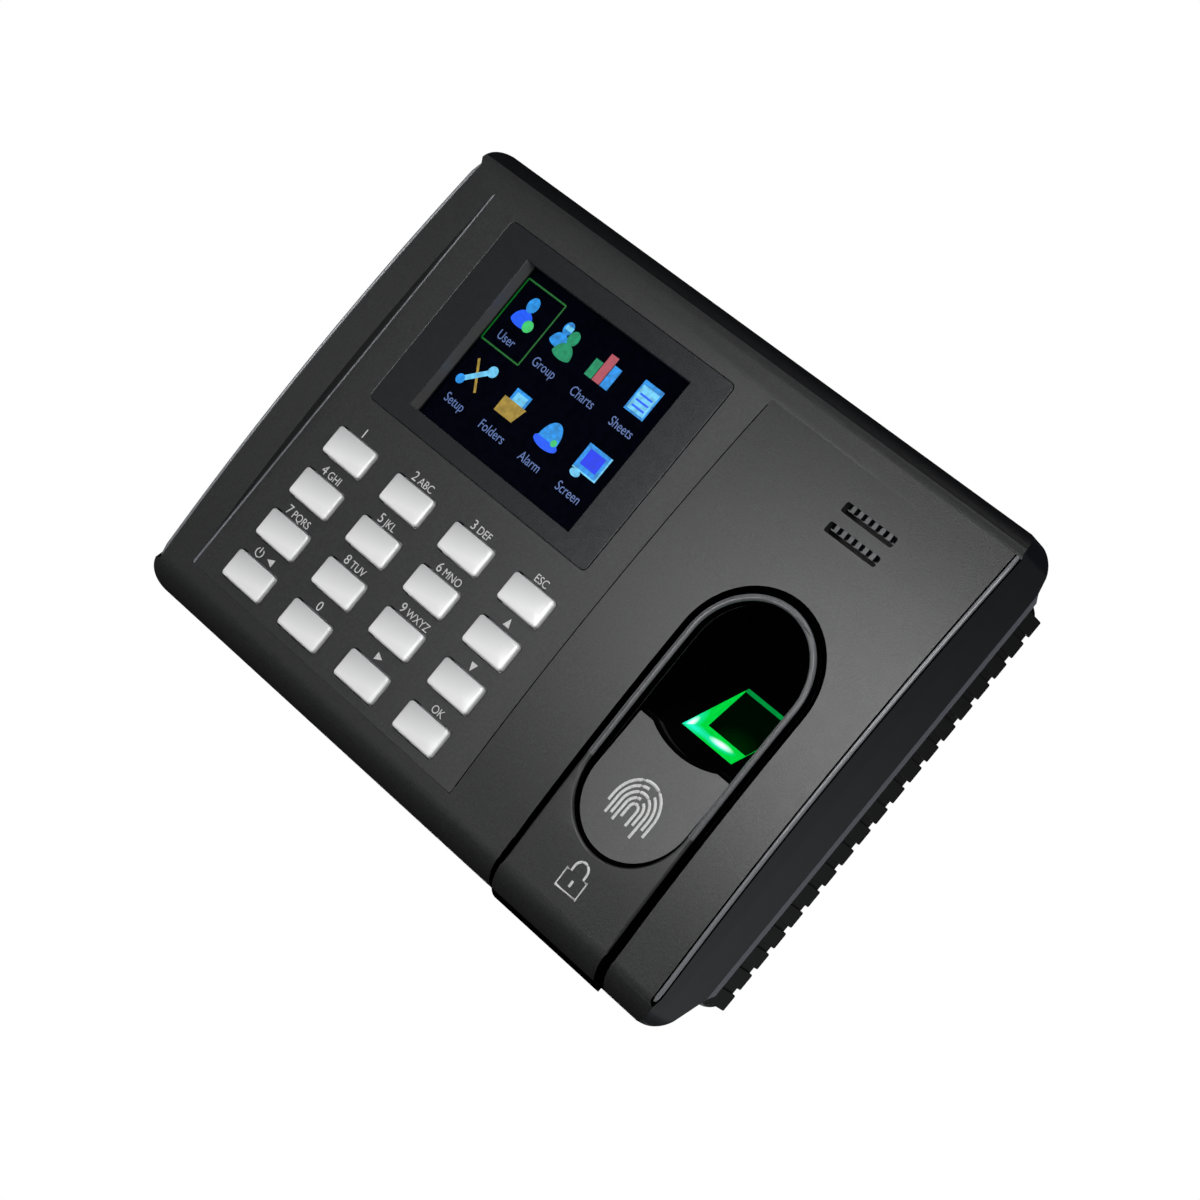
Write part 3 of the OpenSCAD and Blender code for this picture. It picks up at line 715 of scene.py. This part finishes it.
class Picture:
    """Flat coloured shapes on the display; each new shape lies a hair in front of the last."""

    def __init__(self):
        self.bm = bmesh.new()
        self.layer = 0
        self.x = self.z = 0

    def move(self, x, z):
        """Sets the origin of the shapes that follow."""
        self.x, self.z = x, z

    def shape(self, colour, points):
        """A face through points about the origin that move has set."""
        self.layer += 1
        depth = PICTURE_D - 0.02 - 0.0004 * self.layer
        loop = add_loop(self.bm, [at(self.x + x, depth, self.z + z) for x, z in points])
        face = cap(self.bm, loop, ICON_ORDER.index(colour))
        face.normal_update()
        if face.normal.y > 0:
            face.normal_flip()

    def disc(self, colour, x, z, rx, rz=None, start=0, end=360):
        """An ellipse, or the part of it from start to end degrees."""
        points = arc_points(x, z, rx, rz or rx, start, end, 24)
        self.shape(colour, points[:-1] if end - start == 360 else points)

    def block(self, colour, x0, x1, z0, z1):
        """An upright rectangle."""
        self.shape(colour, [(x0, z0), (x1, z0), (x1, z1), (x0, z1)])

    def bar(self, colour, x0, z0, x1, z1, width):
        """A straight line of a given width."""
        dx, dz = x1 - x0, z1 - z0
        length = math.hypot(dx, dz)
        ux, uz = -dz / length * width / 2, dx / length * width / 2
        self.shape(colour, [(x0 + ux, z0 + uz), (x1 + ux, z1 + uz),
                            (x1 - ux, z1 - uz), (x0 - ux, z0 - uz)])

    def person(self, body, head, x=0, z=0, s=1.0):
        """A head over rounded shoulders, at a scale s."""
        self.disc(body, x, z - 3.4 * s, 3.2 * s, 3.6 * s, 0, 180)
        self.disc(body, x, z - 3.2 * s, 3.2 * s, 1.2 * s, 180, 360)
        self.disc(head, x, z + 1.9 * s, 1.75 * s, 2.1 * s)

    def caption(self, words):
        """Lettering centred below the icon."""
        mesh = text_mesh(words, 3.5, self.x, PICTURE_D - 0.03, self.z - 9.4, "CENTER", 0.85)
        start = len(self.bm.faces)
        self.bm.from_mesh(mesh)
        self.bm.faces.ensure_lookup_table()
        for face in self.bm.faces[start:]:
            face.material_index = ICON_ORDER.index("words")


def icon_user(p):
    p.person("blue", "cyan")
    p.disc("leaf", 2.6, -2.9, 1.6)


def icon_group(p):
    p.person("cyan", "cyan", -1.6, 1.0, 0.85)
    p.person("green", "green", 1.4, -0.4, 0.95)
    p.block("pale", -2.6, -0.2, 2.2, 3.4)


def icon_chart(p):
    p.block("green", -4, -1.5, -3.6, 1.2)
    p.block("red", -1.3, 1.3, -3.6, 4.2)
    p.block("cyan", 1.5, 4.1, -3.6, 2.4)


def icon_sheet(p):
    p.block("cyan", -3.2, 3.4, -4.2, 4.2)
    p.block("pale", -2.7, 2.9, -3.6, 3.0)
    for z in (-2.4, -0.8, 0.8):
        p.block("blue", -2.0, 2.2, z - 0.25, z + 0.25)


def icon_tools(p):
    p.bar("gold", -2.6, 3.6, 2.8, -3.6, 0.7)
    p.bar("pale", -3.4, -3.2, 3.2, 3.0, 1.4)
    p.disc("cyan", -3.2, -3.0, 1.3)
    p.disc("pale", 3.2, 3.0, 1.5)


def icon_folder(p):
    p.block("cyan", -2.2, 3.2, -1.2, 3.8)
    p.block("pale", -1.4, 2.4, 0.4, 3.0)
    p.shape("gold", [(-3.8, -3.8), (2.6, -3.8), (4.0, 0.6), (-3.8, 0.6)])


def icon_bell(p):
    p.disc("blue", 0, -2.6, 4.0, 1.5)
    p.disc("cyan", 0, -1.8, 3.2, 5.0, 0, 180)
    p.disc("leaf", 2.0, -1.4, 0.9)


def icon_monitor(p):
    p.block("pale", -4.0, 4.0, -2.8, 4.2)
    p.block("cyan", -4.0, 3.5, -2.4, 4.2)
    p.block("navy", -2.8, 2.6, -1.2, 3.2)
    p.disc("pale", -2.2, -3.6, 1.6, 1.0)


ICONS = [
    [(icon_user, "User"), (icon_group, "Group"),
     (icon_chart, "Charts"), (icon_sheet, "Sheets")],
    [(icon_tools, "Setup"), (icon_folder, "Folders"),
     (icon_bell, "Alarm"), (icon_monitor, "Screen")],
]


def display_picture():
    """A menu of eight generic icons with captions, and a frame round the first."""
    picture = Picture()
    x0, x1, z0, z1 = WINDOW
    columns, first_column = 4.18, 0.46
    step_x = (x1 - x0) / columns
    row_z = [z1 - share * (z1 - z0) for share in (0.215, 0.655)]
    for z, icons in zip(row_z, ICONS):
        for column, (draw, words) in enumerate(icons):
            picture.move(x0 + step_x * (column + first_column), z)
            draw(picture)
            picture.caption(words)
    left, right = x0 + 0.3, x0 + step_x
    top, bottom = row_z[0] + 6.6, row_z[0] - 11.6
    picture.move(0, 0)
    for edge in [(left, bottom, right, bottom), (right, bottom, right, top),
                 (right, top, left, top), (left, top, left, bottom)]:
        picture.bar("frame", *edge, 0.45)
    return add_piece("display_picture", picture.bm, list(ICON_PAINT.values()), CASE)


def bezel_frame():
    """The screen bezel; the walls of its window are painted a lighter grey as painted light where
    they face the light.
    """
    def rim(x, d, z):
        return d < 0.4

    def dress(bm):
        """Paints painted light, a lighter grey, on the large walls of the window."""
        for face in bm.faces:
            x, depth, _ = measured(face.calc_center_median())
            inside = WINDOW[0] - 1 < x < WINDOW[1] + 1 and depth > 1.2
            if inside and abs(face.normal.y) < 0.5 and face.calc_area() > 20 * MM * MM:
                face.material_index = 1

    return softened("screen_bezel", "bezel_frame", [bezel_plastic, window_wall],
                    [(rim, 0.1, 2, 0, 0.5)], dress=dress)


# ---------- finger reader ----------

PANEL_RIGHT = limits("screen_bezel")[1][0] + 9.75


def surround_ridge():
    """The arch round the well; its rounded edges carry a painted highlight, down to the foot of the
    well.
    """
    # ring is a painted highlight, black is painted shade
    plain, ring, black = range(3)
    ring_foot = -30

    def ridge(x, d, z):
        return d < 6 and z > -60

    def dress(bm):
        """Paints painted shade black on the walls of the groove and of the well, and ends the
        painted highlight of the ring.
        """
        for face in bm.faces:
            _, depth, z = measured(face.calc_center_median())
            if face.material_index == plain and (face.normal.y > -0.6 or depth > sag(z) + 1.5):
                face.material_index = black
            if face.material_index == ring and z < ring_foot:
                face.material_index = plain

    return softened("reader_surround", "surround_ridge", [charcoal, ring_plastic, groove_black],
                    [(ridge, 0.6, 3, ring, 0.5)], dress=dress)


def guide_plate():
    """The plate below the well; a dark seam runs round its lower half, its step painted black as
    painted shade.
    """
    def seam(x, d, z):
        return d < 2 and z < -14

    return softened("finger_guide", "guide_plate", [charcoal, groove_black],
                    [(seam, 1.0, 3, 1, 0.12)])


def lit_glass(name, base, spots):
    """Emission that starts from a base colour and turns to other colours towards spots, each
    given as (x, depth, z, reach in mm, colour)."""
    material = shader(name, shaded(base, 0.15), Roughness=0.5, Emission_Strength=1.0,
                      Specular_IOR_Level=0.0)
    tree = material.node_tree
    coordinates = tree.nodes.new("ShaderNodeTexCoord")
    colour = blotched(tree, noise(tree, 500), shaded(base, 0.8), base)
    for x, depth, z, reach, tint in spots:
        distance = tree.nodes.new("ShaderNodeVectorMath")
        distance.operation = "DISTANCE"
        distance.inputs[1].default_value = at(x, depth, z)
        tree.links.new(coordinates.outputs["Object"], distance.inputs[0])
        near = tree.nodes.new("ShaderNodeMapRange")
        near.inputs["From Max"].default_value = reach * MM
        near.inputs["To Min"].default_value = 1
        near.inputs["To Max"].default_value = 0
        tree.links.new(distance.outputs["Value"], near.inputs["Value"])
        blend = tree.nodes.new("ShaderNodeMix")
        blend.data_type = "RGBA"
        tree.links.new(near.outputs["Result"], blend.inputs["Factor"])
        tree.links.new(colour, blend.inputs["A"])
        blend.inputs["B"].default_value = (*tint, 1)
        colour = blend.outputs["Result"]
    tree.links.new(colour, tree.nodes["Principled BSDF"].inputs["Emission Color"])
    return material


def prism_glass():
    """The prism: a clear sloping face over lit flanks, a lit floor and a dark back, with a lit
    line along its top."""
    clear, flank, floor_lit, rear, line = range(5)
    (x0, front, bottom), (x1, back, top) = PRISM_LOW, PRISM_HIGH
    line_h, line_drop = 0.9, 1.03
    green, dark_green = (0.0, 0.75, 0.06), (0.0, 0.003, 0.0005)
    cyan = (0.02, 1.0, 0.75)
    white = (1.3, 1.5, 1.5)
    glow = [
        lit_glass("prism_flank", green, [
            (x0, front + 2.5, bottom, 7.5, cyan),
            (x0, front + 4.2, bottom + 0.8, 2.6, white)]),
        lit_glass("prism_floor", green, [
            (x0 + 1.0, front + 4, bottom, 5.5, cyan),
            (x0 + 8.2, front + 6, bottom, 5.0, cyan),
            (x0 + 8.2, front + 7.5, bottom, 3.6, white)]),
        lit_glass("prism_rear", dark_green, [
            (x0 + 9, back, bottom - 1, 7, (0.0, 0.02, 0.002))]),
        lit_glass("prism_line", (0.0, 0.3, 0.05), []),
    ]
    outline = [(front, bottom), (back, bottom), (back, top - line_h), (back, top),
               (back - line_h, top - line_drop)]
    bm = bmesh.new()
    left = add_loop(bm, [at(x0, d, z) for d, z in outline])
    right = add_loop(bm, [at(x1, d, z) for d, z in outline])
    bridge(bm, left, right)
    bm.faces.ensure_lookup_table()
    for face, material in zip(bm.faces, (floor_lit, rear, line, line, clear)):
        face.material_index = material
    cap(bm, left, flank)
    cap(bm, right, flank)
    bmesh.ops.recalc_face_normals(bm, faces=bm.faces)
    return add_piece("prism_glass", bm, [glass, *glow], CASE, ("reader_prism",))


def stroke(bm, depth, points, radius, rise=0.1):
    """A line of ink through (x, z) points, which stands rise mm out of the surface that depth
    describes."""
    path = [at(x, depth(x, z) + radius - rise, z) for x, z in points]
    tube(bm, path, radius, 8)


def panel_seam():
    """The fine dark seam along the right edge of the flat panel."""
    depth = front_of("front_shell")
    x, reach, step = PANEL_RIGHT + 0.12, 56, 4
    bm = bmesh.new()
    stroke(bm, depth, [(x, z) for z in range(-reach, reach + 1, step)], 0.15)
    return add_piece("panel_seam", finished(bm), [groove_black], CASE)


def fingerprint_mark():
    """A generic fingerprint: nested arches with legs of uneven length and a few gaps."""
    depth = front_of("finger_guide")
    line_r, rise = 0.6, 0.15
    middle_z = -33.5
    # radius of each arch, and how far its left and right legs reach down
    ridges = [(1.2, -2.8, -3.9), (2.5, -4.6, -2.8), (3.8, -3.6, -5.4), (5.1, -4.4, -2.3),
              (6.4, -1.8, -3.4)]
    bm = bmesh.new()
    for n, (r, left_leg, right_leg) in enumerate(ridges):
        points = [(WELL_X - r, middle_z + left_leg)]
        points += arc_points(WELL_X, middle_z, r, r * 1.12, 180, 0)
        points += [(WELL_X + r, middle_z + right_leg)]
        if n in (1, 3):
            stroke(bm, depth, points[:12], line_r, rise)
            stroke(bm, depth, points[14:], line_r, rise)
        else:
            stroke(bm, depth, points, line_r, rise)
    return add_piece("fingerprint_mark", finished(bm), [mark_ink], CASE)


def lock_mark():
    """A small generic padlock below the guide."""
    depth = front_of("reader_surround")
    line_r, rise = 0.45, 0.13
    x, z = WELL_X, -54.5
    half_w, low, high = 3.3, z - 2.5, z + 2
    shackle_r, shackle_z = 2, z + 3.2
    body = [(x - half_w, low), (x + half_w, low), (x + half_w, high), (x - half_w, high)]
    shackle = arc_points(x, shackle_z, shackle_r, 2.1, 180, 0, 12)
    bm = bmesh.new()
    stroke(bm, depth, body + body[:2], line_r, rise)
    stroke(bm, depth, [(x - shackle_r, high), (x - shackle_r, shackle_z), *shackle,
                       (x + shackle_r, high)], line_r, rise)
    stroke(bm, depth, [(x, z + 0.5), (x, z - 1.1)], 0.5, 0.15)
    return add_piece("lock_mark", finished(bm), [mark_ink], CASE)


# ---------- sockets ----------

def socket_contacts():
    """Gold contacts in the network and USB sockets, and the pin of the power socket."""
    # node, number of contacts, pitch, half width, and each contact's depths and heights
    rows = [("network_socket", 8, 1.02, 0.22, (2.0, 2.5), (3, 13)),
            ("usb_socket", 4, 2.3, 0.6, (2.2, 2.42), (2, 9))]
    bm = bmesh.new()
    for node, count, pitch, half_w, depths, heights in rows:
        low, high = limits(node)
        for i in range(count):
            x = (low[0] + high[0]) / 2 + pitch * (i - (count - 1) / 2)
            box_into(bm, (x - half_w, low[1] + depths[0], low[2] + heights[0]),
                     (x + half_w, low[1] + depths[1], low[2] + heights[1]))
    low, high = limits("power_socket")
    x, d = (low[0] + high[0]) / 2, (low[1] + high[1]) / 2
    tube(bm, [at(x, d, low[2] + k) for k in (2, 6, 10)], 1.0, 16)
    return add_piece("socket_contacts", finished(bm), [gold], CASE)


def build():
    """Paints the CAD nodes and makes every piece that stands in for one or lies on one."""
    paint_cad_nodes()
    front_cover()
    edge_beads()
    speaker_teeth()
    back_cover()
    for node in KEYS:
        key_cap(node)
    key_legends()
    display_picture()
    bezel_frame()
    surround_ridge()
    guide_plate()
    prism_glass()
    panel_seam()
    fingerprint_mark()
    lock_mark()
    socket_contacts()


build()


# ---------- stage, in metres ----------

def toward(azimuth, elevation):
    """The direction seen at an azimuth and elevation in degrees from the origin: azimuth 0 is
    straight in front, plus is to the right."""
    a, e = math.radians(azimuth), math.radians(elevation)
    return Vector((math.sin(a) * math.cos(e), -math.cos(a) * math.cos(e), math.sin(e)))


def floor():
    """A pale disc far below the terminal; it shows in raised views and throws no light on it."""
    radius, height = 1.3, -0.6
    bm = bmesh.new()
    bmesh.ops.create_circle(bm, cap_ends=True, segments=96, radius=radius,
                            matrix=Matrix.Translation((0, 0, height)))
    mesh = bpy.data.meshes.new("floor")
    bm.to_mesh(mesh)
    bm.free()
    mesh.materials.append(textured("floor_pale", grey(0.8), 0.8, 60, 0.05, 0.02,
                                   Emission_Color=(1, 1, 1, 1), Emission_Strength=0.6))
    disc = bpy.data.objects.new("floor", mesh)
    disc.visible_diffuse = False
    disc.visible_glossy = False
    bpy.context.scene.collection.objects.link(disc)


def area_light(name, azimuth, elevation, distance, size, power, colour=(1, 1, 1)):
    """A soft box that faces the origin and isn't seen itself."""
    data = bpy.data.lights.new(name, "AREA")
    data.shape = "RECTANGLE"
    data.size, data.size_y = size
    data.energy = power
    data.color = colour
    light = bpy.data.objects.new(name, data)
    light.location = distance * toward(azimuth, elevation)
    light.rotation_mode = "QUATERNION"
    light.rotation_quaternion = (-light.location).to_track_quat("-Z", "Y")
    light.visible_camera = False
    bpy.context.scene.collection.objects.link(light)


# brightness of the world from straight below, 0, through level, 0.5, to straight above, 1
SKY = [(0.0, 0.02), (0.36, 0.03), (0.44, 0.34), (0.485, 0.28), (0.51, 0.1), (0.55, 0.015),
       (1.0, 0.01)]


def world():
    """White to the eye, but dim as a light, with its brightest band just below level."""
    sky = bpy.data.worlds.new("studio")
    sky.use_nodes = True
    tree = sky.node_tree
    coordinates = tree.nodes.new("ShaderNodeTexCoord")
    split = tree.nodes.new("ShaderNodeSeparateXYZ")
    height = tree.nodes.new("ShaderNodeMapRange")
    height.inputs["From Min"].default_value = -1
    seen = tree.nodes.new("ShaderNodeLightPath")
    blend = tree.nodes.new("ShaderNodeMix")
    blend.data_type = "RGBA"
    blend.inputs["B"].default_value = (1, 1, 1, 1)
    fade = ramp(tree, height.outputs["Result"], [(share, grey(value)) for share, value in SKY])
    tree.links.new(coordinates.outputs["Generated"], split.inputs["Vector"])
    tree.links.new(split.outputs["Z"], height.inputs["Value"])
    tree.links.new(seen.outputs["Is Camera Ray"], blend.inputs["Factor"])
    tree.links.new(fade, blend.inputs["A"])
    tree.links.new(blend.outputs["Result"], tree.nodes["Background"].inputs["Color"])
    bpy.context.scene.world = sky


def camera():
    """The photograph's viewpoint: level with the terminal, from its right, and rolled."""
    azimuth, elevation, roll = 32.51, 0.14, math.radians(-39.28)
    distance = 0.7686
    aim = Vector((0.0161, PANEL, -0.0024))
    back = toward(azimuth, elevation)
    level_right = (-back).cross(Vector((0, 0, 1))).normalized()
    level_up = level_right.cross(-back)
    up = math.cos(roll) * level_up + math.sin(roll) * level_right
    right = (-back).cross(up)
    data = bpy.data.cameras.new("camera")
    data.lens, data.sensor_width = 101.46, 36
    eye = bpy.data.objects.new("camera", data)
    eye.matrix_world = Matrix.Translation(aim + distance * back) @ Matrix(
        (right, up, back)).transposed().to_4x4()
    bpy.context.scene.collection.objects.link(eye)
    bpy.context.scene.camera = eye


floor()
world()
camera()
area_light("soft_box", -13, 4, 0.5, (0.14, 0.2), 1.0)
area_light("side_fill", 50, 12, 0.9, (0.5, 0.3), 3)
area_light("top_fill", -10, 62, 0.9, (0.4, 0.4), 2.2)
area_light("low_fill", 115, -30, 0.5, (0.25, 0.25), 0.35, (0.85, 0.92, 1.0))
area_light("back_fill", -160, -5, 1.0, (0.6, 0.6), 4)
bpy.context.scene.view_settings.view_transform = "Standard"
